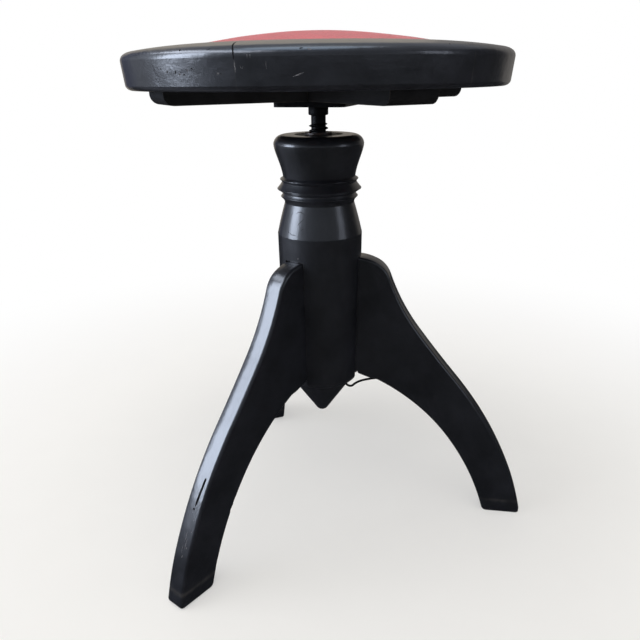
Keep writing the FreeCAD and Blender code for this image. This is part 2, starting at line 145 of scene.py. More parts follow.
# ---- materials ----
def ebonised_beech(name, grain=(0.0, 0.0, 0.0), wear_radius=1.4, tide=0.0, rubbed=0.0):
    """Beech stained black, brushed with shellac and rubbed.

    The eye gets a soft, slightly mottled gloss with the wood's pores and the brush's lines in it,
    greyer on rubbed corners. The grain runs along X after the rotation. tide is the strength of
    the pale line that wet floors have left low on the legs, and rubbed is how much further a
    turned piece has been rubbed down, to a smoother surface with a duller gloss.
    """
    material, tree, place = bare_material(name)
    turned = add(tree, "Mapping", {"Vector": place, "Rotation": grain}, vector_type="TEXTURE")
    # beech pores are about 0.1 mm wide; drawn at 1.3 mm so that they show
    along = (every(14.0), every(1.3), every(1.3))
    along = add(tree, "Mapping", {"Vector": turned, "Scale": along})
    pores = add(tree, "TexNoise", {"Vector": along, "Scale": 1.0, "Detail": 1.0}, "Fac")
    bands = (every(120.0), every(9.0), every(9.0))
    bands = add(tree, "Mapping", {"Vector": turned, "Scale": bands})
    growth = add(tree, "TexNoise", {
        "Vector": bands, "Scale": 1.0, "Detail": 1.0, "Distortion": 0.6,
    }, "Fac")
    patches = add(tree, "TexNoise", {
        "Vector": place, "Scale": every(34.0), "Detail": 5.0, "Roughness": 0.6,
    }, "Fac")
    brushed = add(tree, "TexNoise", {
        "Vector": place, "Scale": every(7.0), "Detail": 1.0, "Distortion": 0.8,
    }, "Fac")
    waves = add(tree, "TexNoise", {"Vector": place, "Scale": every(22.0), "Detail": 1.0}, "Fac")
    edges = worn_edges(tree, wear_radius, add(tree, "MapRange", [patches, 0.42, 0.62, 0.0, 1.0]))
    black = add(tree, "Mix", {
        SHARE: add(tree, "MapRange", [patches, 0.35, 0.7, 0.0, 1.0]),
        FIRST: colour("181A20"), SECOND: colour("23252D"),
    }, MIXED, data_type="RGBA")
    black = add(tree, "Mix", {
        SHARE: edges, FIRST: black, SECOND: colour("4A4744"),
    }, MIXED, data_type="RGBA")
    if tide:
        height = add(tree, "SeparateXYZ", [place], "Z")
        uneven = add(tree, "Math", [brushed, 3.0 * MM, height], operation="MULTIPLY_ADD")
        # between 14.6 and 20.4 mm up, and lower by as much as 3 mm in places
        rise = add(tree, "MapRange", [uneven, 14.6 * MM, 17.4 * MM, 0.0, 1.0])
        fall = add(tree, "MapRange", [uneven, 20.4 * MM, 17.6 * MM, 0.0, tide])
        line = add(tree, "Math", [rise, fall], operation="MULTIPLY")
        broken = add(tree, "MapRange", [patches, 0.38, 0.6, 0.0, 1.0])
        line = add(tree, "Math", [line, broken], operation="MULTIPLY")
        black = add(tree, "Mix", {
            SHARE: line, FIRST: black, SECOND: colour("6E6A66"),
        }, MIXED, data_type="RGBA")
    # never under 0.28 with the brush's lines added: patches glossier than that turn to dark specks
    glossiest, dullest = 0.27 + 0.03 * rubbed, 0.31 + 0.03 * rubbed
    rough = add(tree, "MapRange", [patches, 0.3, 0.7, glossiest, dullest])
    rough = add(tree, "Math", [brushed, 0.05, rough], operation="MULTIPLY_ADD")
    normal = add(tree, "Bump", {"Height": pores, "Distance": 0.03 * MM})
    normal = add(tree, "Bump", {"Height": growth, "Distance": 0.14 * MM, "Normal": normal})
    lines, swell = (0.13 - 0.06 * rubbed) * MM, (0.55 - 0.3 * rubbed) * MM
    normal = add(tree, "Bump", {"Height": brushed, "Distance": lines, "Normal": normal})
    normal = add(tree, "Bump", {"Height": waves, "Distance": swell, "Normal": normal})
    add(tree, "OutputMaterial", {"Surface": add(tree, "BsdfPrincipled", {
        "Base Color": black,
        "Roughness": rough,
        "Normal": normal,
        "IOR": 1.5,
        "Coat Weight": 0.4,
        "Coat Roughness": 0.17,
        "Coat Normal": normal,
    })})
    return material


def bare_wood(name, pale, dark, grain=(0.0, 0.0, 0.0)):
    """Planed wood with no finish: growth rings run as soft bands, and it has hardly any gloss."""
    material, tree, place = bare_material(name)
    turned = add(tree, "Mapping", {"Vector": place, "Rotation": grain}, vector_type="TEXTURE")
    stretched = add(tree, "Mapping", {"Vector": turned, "Scale": (0.06, 1.0, 1.0)})
    rings = add(tree, "TexWave", {
        "Vector": stretched,
        "Scale": every(30.0),
        "Distortion": 7.0,
        "Detail": 3.0,
        "Detail Scale": 1.4,
    }, "Fac", bands_direction="Y")
    # real fibres are under 0.05 mm wide; drawn at 0.7 mm so that they show
    fibres = (every(14.0), every(0.7), every(0.7))
    fibres = add(tree, "Mapping", {"Vector": turned, "Scale": fibres})
    fibres = add(tree, "TexNoise", {"Vector": fibres, "Scale": 1.0, "Detail": 4.0}, "Fac")
    figure = add(tree, "Math", [rings, 0.6], operation="MULTIPLY")
    figure = add(tree, "Math", [fibres, 0.5, figure], operation="MULTIPLY_ADD")
    shade = add(tree, "Mix", {
        SHARE: add(tree, "MapRange", [figure, 0.2, 0.9, 0.0, 1.0]),
        FIRST: colour(pale), SECOND: colour(dark),
    }, MIXED, data_type="RGBA")
    add(tree, "OutputMaterial", {"Surface": add(tree, "BsdfPrincipled", {
        "Base Color": shade,
        "Roughness": 0.62,
        "Normal": add(tree, "Bump", {"Height": fibres, "Distance": 0.06 * MM}),
        "Specular IOR Level": 0.3,
    })})
    return material


def painted_batten(name, grain):
    """Sawn beech brushed with thin black paint: dull, with the saw's and the brush's lines."""
    material, tree, place = bare_material(name)
    turned = add(tree, "Mapping", {"Vector": place, "Rotation": grain}, vector_type="TEXTURE")
    lines = (every(40.0), every(1.1), every(1.1))
    lines = add(tree, "Mapping", {"Vector": turned, "Scale": lines})
    lines = add(tree, "TexNoise", {"Vector": lines, "Scale": 1.0, "Detail": 5.0}, "Fac")
    patches = add(tree, "TexNoise", {"Vector": place, "Scale": every(26.0), "Detail": 4.0}, "Fac")
    edges = worn_edges(tree, 1.2, add(tree, "MapRange", [patches, 0.4, 0.6, 0.0, 1.0]))
    coat = add(tree, "Mix", {
        SHARE: add(tree, "MapRange", [patches, 0.35, 0.65, 0.0, 1.0]),
        FIRST: colour("17171A"), SECOND: colour("202124"),
    }, MIXED, data_type="RGBA")
    add(tree, "OutputMaterial", {"Surface": add(tree, "BsdfPrincipled", {
        "Base Color": add(tree, "Mix", {
            SHARE: edges, FIRST: coat, SECOND: colour("4D463E"),
        }, MIXED, data_type="RGBA"),
        "Roughness": add(tree, "MapRange", [lines, 0.3, 0.7, 0.5, 0.65]),
        "Normal": add(tree, "Bump", {"Height": lines, "Distance": 0.12 * MM}),
        "Specular IOR Level": 0.15,
    })})
    return material


def polished_cowhide(name):
    """Cowhide dyed red and polished: a fine pebbled grain, darker between pebbles and in creases.

    Where it faces down, turned under the board, it is darkened as painted shade.
    """
    material, tree, place = bare_material(name)
    warp = add(tree, "TexNoise", {"Vector": place, "Scale": every(9.0), "Detail": 2.0}, "Color")
    bent = add(tree, "Mix", {
        SHARE: 1.6 * MM, FIRST: place, SECOND: warp,
    }, MIXED, data_type="RGBA", blend_type="ADD")
    # real pebbles are about 0.6 mm; drawn at 1.3 mm so that they show
    pebbles = add(tree, "TexVoronoi", {
        "Vector": bent, "Scale": every(1.3), "Smoothness": 0.6,
    }, "Distance", feature="SMOOTH_F1")
    creases = add(tree, "TexVoronoi", {
        "Vector": bent, "Scale": every(5.5),
    }, "Distance", feature="DISTANCE_TO_EDGE")
    creases = add(tree, "MapRange", [creases, 0.0, 0.09, 0.0, 1.0])
    dye = add(tree, "TexNoise", {
        "Vector": place, "Scale": every(30.0), "Detail": 5.0, "Roughness": 0.6,
    }, "Fac")
    red = add(tree, "Mix", {
        SHARE: add(tree, "MapRange", [dye, 0.3, 0.7, 0.0, 1.0]),
        FIRST: colour("B5373E"), SECOND: colour("C9494F"),
    }, MIXED, data_type="RGBA")
    red = add(tree, "Mix", {
        SHARE: add(tree, "MapRange", [pebbles, 0.45, 0.85, 0.0, 0.35]),
        FIRST: red, SECOND: colour("741A1F"),
    }, MIXED, data_type="RGBA")
    red = add(tree, "Mix", {
        SHARE: add(tree, "MapRange", [creases, 1.0, 0.0, 0.0, 0.3]),
        FIRST: red, SECOND: colour("601318"),
    }, MIXED, data_type="RGBA")
    # painted shade: faces that look down, turned under the board, are darkened
    facing = add(tree, "SeparateXYZ", [add(tree, "NewGeometry", out="Normal")], "Z")
    red = add(tree, "Mix", {
        SHARE: add(tree, "MapRange", [facing, -0.3, -0.8, 0.0, 0.85]),
        FIRST: red, SECOND: colour("2E1516"),
    }, MIXED, data_type="RGBA")
    normal = add(tree, "Bump", {"Height": creases, "Distance": 0.05 * MM})
    raised = add(tree, "MapRange", [pebbles, 0.9, 0.1, 0.0, 1.0])
    normal = add(tree, "Bump", {"Height": raised, "Distance": 0.16 * MM, "Normal": normal})
    add(tree, "OutputMaterial", {"Surface": add(tree, "BsdfPrincipled", {
        "Base Color": red,
        "Roughness": add(tree, "MapRange", [dye, 0.3, 0.7, 0.42, 0.54]),
        "Normal": normal,
        "Sheen Weight": 0.25,
        "Sheen Roughness": 0.4,
    })})
    return material


def greased_leather(name):
    """Sole leather soaked with grease and iron dust: dark brown, slick where it rubs."""
    material, tree, place = bare_material(name)
    blots = add(tree, "TexNoise", {"Vector": place, "Scale": every(4.0), "Detail": 5.0}, "Fac")
    brown = add(tree, "Mix", {
        SHARE: add(tree, "MapRange", [blots, 0.35, 0.65, 0.0, 1.0]),
        FIRST: colour("2A1B12"), SECOND: colour("4A3220"),
    }, MIXED, data_type="RGBA")
    add(tree, "OutputMaterial", {"Surface": add(tree, "BsdfPrincipled", {
        "Base Color": brown,
        "Roughness": add(tree, "MapRange", [blots, 0.3, 0.7, 0.3, 0.55]),
        "Normal": add(tree, "Bump", {"Height": blots, "Distance": 0.15 * MM}),
    })})
    return material


def hair_and_wadding(name):
    """Curled hair under cotton wadding: pale matted fibres with darker hairs among them."""
    material, tree, place = bare_material(name)
    # real hairs are about 0.1 mm; drawn in locks of 3 mm so that they show
    hairs = add(tree, "TexNoise", {
        "Vector": place, "Scale": every(3.0), "Detail": 6.0, "Roughness": 0.7, "Distortion": 4.0,
    }, "Fac")
    matted = add(tree, "Mix", {
        SHARE: add(tree, "MapRange", [hairs, 0.4, 0.6, 0.0, 1.0]),
        FIRST: colour("C9BBA2"), SECOND: colour("6F5B43"),
    }, MIXED, data_type="RGBA")
    add(tree, "OutputMaterial", {"Surface": add(tree, "BsdfPrincipled", {
        "Base Color": matted,
        "Roughness": 0.95,
        "Normal": add(tree, "Bump", {"Height": hairs, "Distance": 0.6 * MM}),
        "Sheen Weight": 0.4,
    })})
    return material


def blackened_metal(name, black, bare, roughness, wear_radius, metallic):
    """Iron or steel blackened in hot oil: a dark skin, rubbed down to grey metal on its edges."""
    material, tree, place = bare_material(name)
    blots = add(tree, "TexNoise", {
        "Vector": place, "Scale": every(3.5), "Detail": 6.0, "Roughness": 0.65,
    }, "Fac")
    fine = add(tree, "TexNoise", {"Vector": place, "Scale": every(0.7), "Detail": 2.0}, "Fac")
    edges = worn_edges(tree, wear_radius, add(tree, "MapRange", [blots, 0.35, 0.6, 0.0, 1.0]))
    dark = add(tree, "Mix", {
        SHARE: add(tree, "MapRange", [blots, 0.35, 0.7, 0.0, 1.0]),
        FIRST: colour(black), SECOND: colour("1F1E1F"),
    }, MIXED, data_type="RGBA")
    normal = add(tree, "Bump", {"Height": blots, "Distance": 0.10 * MM})
    add(tree, "OutputMaterial", {"Surface": add(tree, "BsdfPrincipled", {
        "Base Color": add(tree, "Mix", {
            SHARE: edges, FIRST: dark, SECOND: colour(bare),
        }, MIXED, data_type="RGBA"),
        "Metallic": metallic,
        "Roughness": add(tree, "MapRange", [blots, 0.3, 0.7, roughness - 0.08, roughness + 0.12]),
        "Normal": add(tree, "Bump", {"Height": fine, "Distance": 0.02 * MM, "Normal": normal}),
    })})
    return material


def torn_beech(name, light, dark):
    """What shows inside a chip or crack: torn fibres, dull and uneven, with dirt or filler; on pits
    also painted highlight and shade.
    """
    material, tree, place = bare_material(name)
    fibres = add(tree, "TexNoise", {"Vector": place, "Scale": every(0.9), "Detail": 4.0}, "Fac")
    torn = add(tree, "Mix", {
        SHARE: add(tree, "MapRange", [fibres, 0.35, 0.65, 0.0, 1.0]),
        FIRST: colour(light), SECOND: colour(dark),
    }, MIXED, data_type="RGBA")
    add(tree, "OutputMaterial", {"Surface": add(tree, "BsdfPrincipled", {
        "Base Color": torn,
        "Roughness": 0.75,
        "Normal": add(tree, "Bump", {"Height": fibres, "Distance": 0.08 * MM}),
        "Specular IOR Level": 0.2,
    })})
    return material


# ---- meshes ----
def lathe(profile, steps, reshape=None):
    """A profile of (radius, height) turned round Z; a radius of 0 is one point.

    reshape(radius, height, angle) may move a point to another (radius, height).
    """
    vertices, rows = [], []
    for radius, height in profile:
        if radius == 0:
            spot = reshape(0, height, 0)[1] if reshape else height
            rows.append([len(vertices)] * steps)
            vertices.append((0, 0, spot))
            continue
        row = []
        for i in range(steps):
            angle = 2 * math.pi * i / steps
            r, z = reshape(radius, height, angle) if reshape else (radius, height)
            row.append(len(vertices))
            vertices.append((r * math.cos(angle), r * math.sin(angle), z))
        rows.append(row)
    faces = []
    for low, high in zip(rows, rows[1:]):
        for i in range(steps):
            j = (i + 1) % steps
            face = []
            for corner in (low[i], low[j], high[j], high[i]):
                if corner not in face:
                    face.append(corner)
            if len(face) > 2:
                faces.append(face)
    return vertices, faces


def joined(parts):
    """Several (vertices, faces) as one."""
    vertices, faces = [], []
    for some, some_faces in parts:
        start = len(vertices)
        vertices += some
        faces += [[corner + start for corner in face] for face in some_faces]
    return vertices, faces


def placed(part, matrix):
    return [tuple(matrix @ Vector(v)) for v in part[0]], part[1]


def weld(mesh, turn_outwards=False):
    """Joins a mesh's faces along their shared edges and drops its slivers."""
    shape = bmesh.new()
    shape.from_mesh(mesh)
    bmesh.ops.remove_doubles(shape, verts=shape.verts, dist=WELD_DISTANCE)
    bmesh.ops.dissolve_degenerate(shape, edges=shape.edges, dist=0.001 * MM)
    if turn_outwards:
        bmesh.ops.recalc_face_normals(shape, faces=shape.faces)
    shape.to_mesh(mesh)
    shape.free()


def in_scene(name, data):
    """A new object that holds some data."""
    made = bpy.data.objects.new(name, data)
    bpy.context.scene.collection.objects.link(made)
    return made


def mesh_object(name, part, material=None):
    mesh = bpy.data.meshes.new(name)
    mesh.from_pydata([Vector(v) * MM for v in part[0]], [], part[1])
    weld(mesh, turn_outwards=True)
    made = in_scene(name, mesh)
    if material:
        mesh.materials.append(material)
    return made


def shade(piece, sharp_angle):
    piece.data.shade_smooth()
    piece.data.set_sharp_from_angle(angle=math.radians(sharp_angle))


def dress(piece, body, slot, *replaced):
    """Lets a piece ride on its body and stand for CAD nodes; its slot is not used."""
    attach(piece, body)
    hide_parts(*replaced)


def coat_all(mesh, material):
    """Makes a material the only one on a mesh."""
    mesh.materials.clear()
    mesh.materials.append(material)


def paint(node, material):
    coat_all(nodes[node].data, material)


def carve(piece, cutters):
    """Cuts the cutters out of a piece and removes them; a cut takes its cutter's material."""
    for cutter in cutters:
        cut = piece.modifiers.new("carve", "BOOLEAN")
        cut.operation = "DIFFERENCE"
        cut.solver = "MANIFOLD"
        cut.material_mode = "TRANSFER"
        cut.object = cutter
    view = bpy.context.evaluated_depsgraph_get()
    old = piece.data
    done = bpy.data.meshes.new_from_object(
        piece.evaluated_get(view), preserve_all_data_layers=True, depsgraph=view)
    piece.modifiers.clear()
    piece.data = done
    bpy.data.meshes.remove(old)
    for cutter in cutters:
        mesh = cutter.data
        bpy.data.objects.remove(cutter)
        bpy.data.meshes.remove(mesh)
    return piece


# ---- marks of use, cut into copies of the CAD solids ----
def skin(*meshes):
    """The surface of some meshes, to find places on."""
    vertices, faces = [], []
    for mesh in meshes:
        start = len(vertices)
        vertices += [v.co for v in mesh.vertices]
        faces += [[corner + start for corner in face.vertices] for face in mesh.polygons]
    return BVHTree.FromPolygons(vertices, faces)


def seek(surface, start, towards):
    """Where the line from one point towards another meets a surface, and how it faces there."""
    start, towards = Vector(start) * MM, Vector(towards) * MM
    spot, facing, _, _ = surface.ray_cast(start, (towards - start).normalized())
    return spot / MM, facing


def on_ring(angle, turn):
    """On the ring's section at an angle: turn 0 is level and outwards, 90 is the top."""
    core = Vector((*polar(RING_CORE_RADIUS, angle), RING_CORE_HEIGHT))
    return seek(ring_skin, core + heading(angle, turn) * 60, core)


def on_column(angle, height):
    return seek(column_skin, (*polar(90, angle), height), (0, 0, height))


def on_leg_3(surface, height, aside):
    """On the outer edge of leg 3, so far from the middle of its thickness."""
    shift = Vector((*polar(aside, -30), height))
    return seek(surface, shift + Vector((*polar(400, -120), 0)), shift)


def furrow(path, half_width, depth):
    """A cutter for a scratch or crack: a V along the path that tapers away at both ends."""
    vertices, faces = [], []
    last = len(path) - 1
    for i, (spot, facing) in enumerate(path):
        ahead = (path[min(i + 1, last)][0] - path[max(i - 1, 0)][0]).normalized()
        across = facing.cross(ahead).normalized()
        fullness = 0.2 if i in (0, last) else 1.0
        aside, deep = across * (half_width * fullness), facing * (depth * fullness)
        vertices += [spot + aside + deep, spot - aside + deep, spot - deep]
    for i in range(last):
        a, b = 3 * i, 3 * i + 3
        for left, right in ((0, 1), (1, 2), (2, 0)):
            faces += [(a + left, b + left, b + right), (a + left, b + right, a + right)]
    faces += [(0, 1, 2), (3 * last, 3 * last + 2, 3 * last + 1)]
    return vertices, faces


def chip(spot, facing, length, width, depth, turn, seed):
    """A cutter for a small dent: an uneven lens with its middle on the surface."""
    turns = random.Random(seed)
    shape = bmesh.new()
    bmesh.ops.create_icosphere(shape, subdivisions=2, radius=1.0)
    shape.verts.index_update()
    corners = [v.co * turns.uniform(0.72, 1.15) for v in shape.verts]
    faces = [[v.index for v in face.verts] for face in shape.faces]
    shape.free()
    lie = facing.to_track_quat("Z", "Y").to_matrix().to_4x4()
    lie = lie @ Matrix.Rotation(math.radians(turn), 4, "Z")
    lie = Matrix.Translation(spot) @ lie @ Matrix.Diagonal((length / 2, width / 2, depth, 1.0))
    return placed((corners, faces), lie)


def copy_of(node, name):
    return in_scene(name, nodes[node].data.copy())


def carved(piece, cuts):
    """Makes cuts of several scar materials in a copy of a CAD node, and keeps its shading."""
    was = piece.data.copy()
    weld(piece.data)
    kinds = [(scar, joined(parts)) for scar, parts in cuts.items() if parts]
    carve(piece, [mesh_object("scar", part, scar) for scar, part in kinds])
    piece.data.shade_smooth()
    piece.data.normals_split_custom_set(shading_from(was, piece.data))
    bpy.data.meshes.remove(was)
    return piece


def shading_from(was, mesh):
    """For every corner of a mesh, the normal of the mesh that it was made from.

    The faces of a cut keep their own.
    """
    surface = skin(was)
    normals = []
    for face in mesh.polygons:
        for corner in face.vertices:
            normal = face.normal.copy()
            if face.material_index == 0:
                # from a little inside the face, so that a sharp edge stays sharp
                inside = mesh.vertices[corner].co.lerp(face.center, 0.02)
                spot, _, index, _ = surface.find_nearest(inside)
                under = was.polygons[index]
                shares = poly_3d_calc([was.vertices[v].co for v in under.vertices], spot)
                smooth = Vector()
                for share, loop in zip(shares, under.loop_indices):
                    smooth += was.corner_normals[loop].vector * share
                if smooth.length > 0.5:
                    normal = smooth.normalized()
            normals.append(normal)
    return normals


def ring_marks(pale, dark):
    """The ring's cracks, dents and scratches, as (first segment, last segment, scar, cutter)."""
    def groove(half_width, depth, *places):
        return furrow([on_ring(*place) for place in places], half_width, depth)

    def dent(angle, turn, *shape):
        return chip(*on_ring(angle, turn), *shape)

    crack = (
        (-104.2, 136), (-102.4, 100), (-101.3, 65), (-100.6, 44), (-100.1, 30), (-99.9, 19),
        (-99.85, 6),
    )
    marks = [
        (4, 5, dark, groove(1.1, 0.9, *crack)),
        (4, 5, pale, groove(0.6, 0.25, (-99.75, 4), (-99.8, -8), (-99.7, -17), (-99.8, -26))),
        (5, 5, pale, groove(0.35, 0.18, (-98.5, -9), (-98.3, -15), (-97.9, -17), (-97.7, -10))),
        (5, 5, pale, groove(0.3, 0.15, (-92.3, 1), (-92.35, -9), (-92.25, -19))),
        (5, 5, pale, groove(0.8, 0.3, (-86.4, -37), (-85.2, -32.5), (-83.9, -28.5))),
        (4, 4, dark, dent(-115.1, 35, 2.6, 2.2, 0.8, 0, 1)),
        (4, 4, dark, dent(-106.5, 35, 3.0, 0.8, 0.3, 40, 2)),
        (4, 4, pale, dent(-104.2, -28, 1.8, 1.5, 0.5, 0, 3)),
        (4, 4, dark, dent(-103.5, -28.5, 1.4, 0.8, 0.4, 0, 4)),
        (5, 5, dark, dent(-84.4, 31, 3.2, 1.2, 0.2, 10, 5)),
        (5, 5, pale, dent(-82.6, 28, 3.6, 1.0, 0.18, 160, 6)),
        (5, 6, dark, groove(0.7, 0.5, (-41.2, 60), (-39.7, 52), (-38.0, 46))),
        (6, 6, dark, dent(-36.5, 70, 4.0, 1.6, 0.5, 20, 7)),
        (6, 6, pale, dent(-34.6, 88, 3.4, 2.0, 0.4, 80, 8)),
        (5, 5, dark, dent(-47.3, 48, 2.2, 0.9, 0.4, 0, 9)),
    ]
    pits = (
        (-122.1, -14), (-119.6, -21), (-116.9, -23), (-115.5, -29), (-114.2, -29),
        (-112.8, -20), (-111.4, -15),
    )
    # pale and dark scars by turns: besides the dents' torn finish, they paint the highlights and
    # shadows that the dents show
    for i, pit in enumerate(pits):
        scar = pale if i % 2 else dark
        marks.append((4, 4, scar, dent(*pit, 2.2, 1.3, 0.45, 50 * i, 20 + i)))
    for angle in (-96.6, -95.9):
        scratch = groove(0.3, 0.12, (angle, 22), (angle + 0.05, 15), (angle, 8))
        marks.append((5, 5, pale, scratch))
    # the tight joints show as fine lines; the one between segments 4 and 5 is the open crack
    for first, last, further in ((1, 6, 0), (1, 2, 60), (2, 3, 120), (3, 4, 180)):
        angle = RING_JOINT_ANGLE + further
        joint = [(angle + 0.15 * math.sin(turn), turn) for turn in (132, 110, 85, 60, 40)]
        marks.append((first, last, dark, groove(0.3, 0.35, *joint)))
    return marks


def mark_ring(pale, dark):
    marks = ring_marks(pale, dark)
    for i in range(1, 7):
        cuts = {pale: [], dark: []}
        for first, last, scar, cutter in marks:
            if i in (first, last):
                cuts[scar].append(cutter)
        piece = carved(copy_of(f"ring_segment_{i}", f"ebonised_ring_{i}"), cuts)
        dress(piece, "seat", "ring_wood", f"ring_segment_{i}")


def mark_column(pale, dark):
    """Fine curved scratches on the swelling."""
    scratches = (
        [(-119.7, 348.6), (-115.5, 350.2), (-110.5, 350.4), (-106.5, 349.6), (-103.3, 348.0)],
        [(-115.0, 337.0), (-112.4, 339.4), (-109.2, 341.2), (-106.4, 343.4), (-104.2, 344.4)],
        [(-129.8, 330.4), (-126.0, 329.4), (-121.5, 328.2), (-117.0, 328.2), (-113.5, 327.4)],
        [(-108.0, 333.0), (-105.5, 334.6), (-103.5, 335.2)],
    )
    cuts = [furrow([on_column(*p) for p in scratch], 0.5, 0.16) for scratch in scratches]
    nick = chip(*on_column(-112.0, 305.0), 2.4, 1.4, 0.4, 30, 41)
    piece = carved(copy_of("column", "ebonised_column"), {dark: cuts, pale: [nick]})
    dress(piece, "base", "column_wood", "column")


def planed_leg(number):
    """A copy of a leg whose outer edge is planed by hand to a slight crown, fuller on one side."""
    flat_from, flat_to = -1, 5                # mm from the middle of the edge
    left_fall, right_fall = 0.012, 0.007      # mm, at a millimetre beyond the flat
    piece = copy_of(f"leg_{number}", f"ebonised_leg_{number}")
    mesh, angle = piece.data, 120 * (number - 1)
    out, aside = Vector((*polar(1, angle), 0)), Vector((*polar(1, angle + 90), 0))
    shape = bmesh.new()
    shape.from_mesh(mesh)
    bmesh.ops.remove_doubles(shape, verts=shape.verts, dist=WELD_DISTANCE)
    for offset in (-9.5, -8, -6.8, -5.6, -4.4, -3.2, -2, -1, 5, 6.5, 8, 9.5):
        everything = shape.verts[:] + shape.edges[:] + shape.faces[:]
        bmesh.ops.bisect_plane(shape, geom=everything, plane_co=aside * offset * MM, plane_no=aside)
    bmesh.ops.triangulate(shape, faces=shape.faces)
    shape.to_mesh(mesh)
    shape.free()
    weld(mesh)
    mesh.shade_smooth()
    normals = shading_from(nodes[f"leg_{number}"].data, mesh)
    moves = {}
    for face in mesh.polygons:
        for corner, loop in zip(face.vertices, face.loop_indices):
            offset = mesh.vertices[corner].co.dot(aside) / MM
            left, right = max(0.0, flat_from - offset), max(0.0, offset - flat_to)
            level = normals[loop] - aside * normals[loop].dot(aside)
            facing = smooth_step(0.2, 0.7, level.dot(out) + level.z)
            if level.length < 0.2 or not facing:
                continue
            fall = left_fall * left ** 2 + right_fall * right ** 2
            moves[corner] = level.normalized() * -fall * facing * MM
            lean = 2 * right_fall * right - 2 * left_fall * left
            normals[loop] = (normals[loop] + aside * lean * facing).normalized()
    for corner, move in moves.items():
        mesh.vertices[corner].co += move
    mesh.normals_split_custom_set(normals)
    return piece


def leg_3_marks(surface, pale, dark):
    """A split gouge down the outer edge, and scuffs below it."""
    def spots(path):
        return [on_leg_3(surface, *p) for p in path]

    # a place is (height, offset from the middle of the edge); a chip has its length and width too
    split = [
        (120.8, 4.1), (119.6, 4.0), (116.2, 3.7), (112.6, 3.6), (108.4, 3.0), (103.6, 2.9),
        (99.4, 2.3), (96.2, 2.1),
    ]
    split_end = chip(*on_leg_3(surface, 93.6, 1.5), 2.6, 1.8, 1.0, 0, 31)
    gouges = [furrow(spots(split), 2.5, 1.7), split_end]
    scuffs = [
        furrow(spots([(92.6, 1.2), (91.0, 1.4), (89.6, 1.0)]), 0.6, 0.25),
        furrow(spots([(74.0, 1.6), (71.6, 0.8), (68.6, 1.1), (64.0, 0.2)]), 0.6, 0.2),
        furrow(spots([(68.0, 3.4), (63.0, 2.8), (58.0, 2.9)]), 0.7, 0.25),
        furrow(spots([(61.0, 0.0), (57.0, -0.6), (53.6, -0.2)]), 0.6, 0.2),
    ]
    chips = [
        (86.0, 5.4, 3.4, 0.8), (75.4, 6.4, 2.6, 1.0), (60.0, 4.8, 2.4, 0.9), (51.0, 1.6, 2.8, 1.0),
    ]
    for height, aside, length, width in chips:
        spot = on_leg_3(surface, height, aside)
        scuffs.append(chip(*spot, length, width, 0.25, 80, round(height)))
    return {dark: gouges, pale: scuffs}


# ---- the seat's soft pieces ----
def crown_height(radius, edge_radius, edge, top):
    """A tight cover over a pad that is fullest in the middle, where it is steeper than a sphere."""
    steepness = 1.75    # 2 is about a sphere's
    return top - (top - edge) * (radius / edge_radius) ** steepness


def leather_profile():
    """The cover's shell, from the middle of its crown out, down, turned under, and back inside."""
    points = []
    edge_round = 2.6
    outside = COVER_RADIUS
    inside = outside - LEATHER_THICKNESS
    tucked = outside - 1.6
    under = LEDGE_TOP + LEATHER_THICKNESS
    for i in range(40):
        radius = (outside - edge_round) * (i / 40) ** 0.85
        points.append((radius, crown_height(radius, outside, COVER_EDGE, COVER_CROWN)))
    shoulder = crown_height(outside - edge_round, outside, COVER_EDGE, COVER_CROWN)
    for i in range(7):
        across, up = polar(edge_round, 90 - 15 * i)
        points.append((outside - edge_round + across, shoulder - edge_round + up))
    for height in (492, 487, 481, 477.2):
        points.append((outside, height))
    points += [(outside - 0.5, 475.8), (tucked, LEDGE_TOP)]
    for i in range(1, 13):
        points.append((tucked - i * (tucked - TURNED_UNDER_RADIUS) / 12, LEDGE_TOP))
    points += [(TURNED_UNDER_RADIUS, under), (118, under), (inside, under)]
    points += [(inside, BOARD_TOP), (inside, 492)]
    edge, top = COVER_EDGE - LEATHER_THICKNESS, COVER_CROWN - LEATHER_THICKNESS
    for i in range(1, 13):
        radius = inside * (1 - i / 12)
        points.append((radius, crown_height(radius, inside, edge, top)))
    return points


def leather_shape(radius, height, angle):
    """Pull marks at the tacks, an uneven crown and gathered folds where the leather turns under."""
    out = Vector((math.cos(angle), math.sin(angle), 0))
    if height > BOARD_TOP:
        rim = smooth_step(60, 125, radius) * (1 - smooth_step(127, 131, radius))
        pull = math.cos(12 * angle + 0.9 * math.sin(3 * angle))
        uneven = noise.noise(out * radius * 0.018 + Vector((3, 1, 0)))
        middle = 1 - smooth_step(100, 129, radius)
        return radius, height - 0.22 * rim * (0.5 + 0.5 * pull) - 0.35 * abs(uneven) * middle
    if height <= LEDGE_TOP + 0.01:
        inner = 1 - smooth_step(112, LEDGE_RADIUS, radius)
        gather = noise.noise(out * 11 + Vector((0, 0, radius * 0.03)))
        fold = abs(math.sin(24 * angle + 2.2 * gather))
        edge = noise.noise(out * 6 + Vector((0, 0, 5)))
        moved = radius + (1.1 * edge if radius < TURNED_UNDER_RADIUS + 0.1 else 0)
        return moved, height - inner * (0.55 * fold ** 3 + 0.15)
    return radius, height


def leather_cover(material):
    piece = mesh_object("red_leather_cover", lathe(leather_profile(), 288, leather_shape), material)
    shade(piece, 50)
    dress(piece, "seat", "red_leather", "seat_leather")


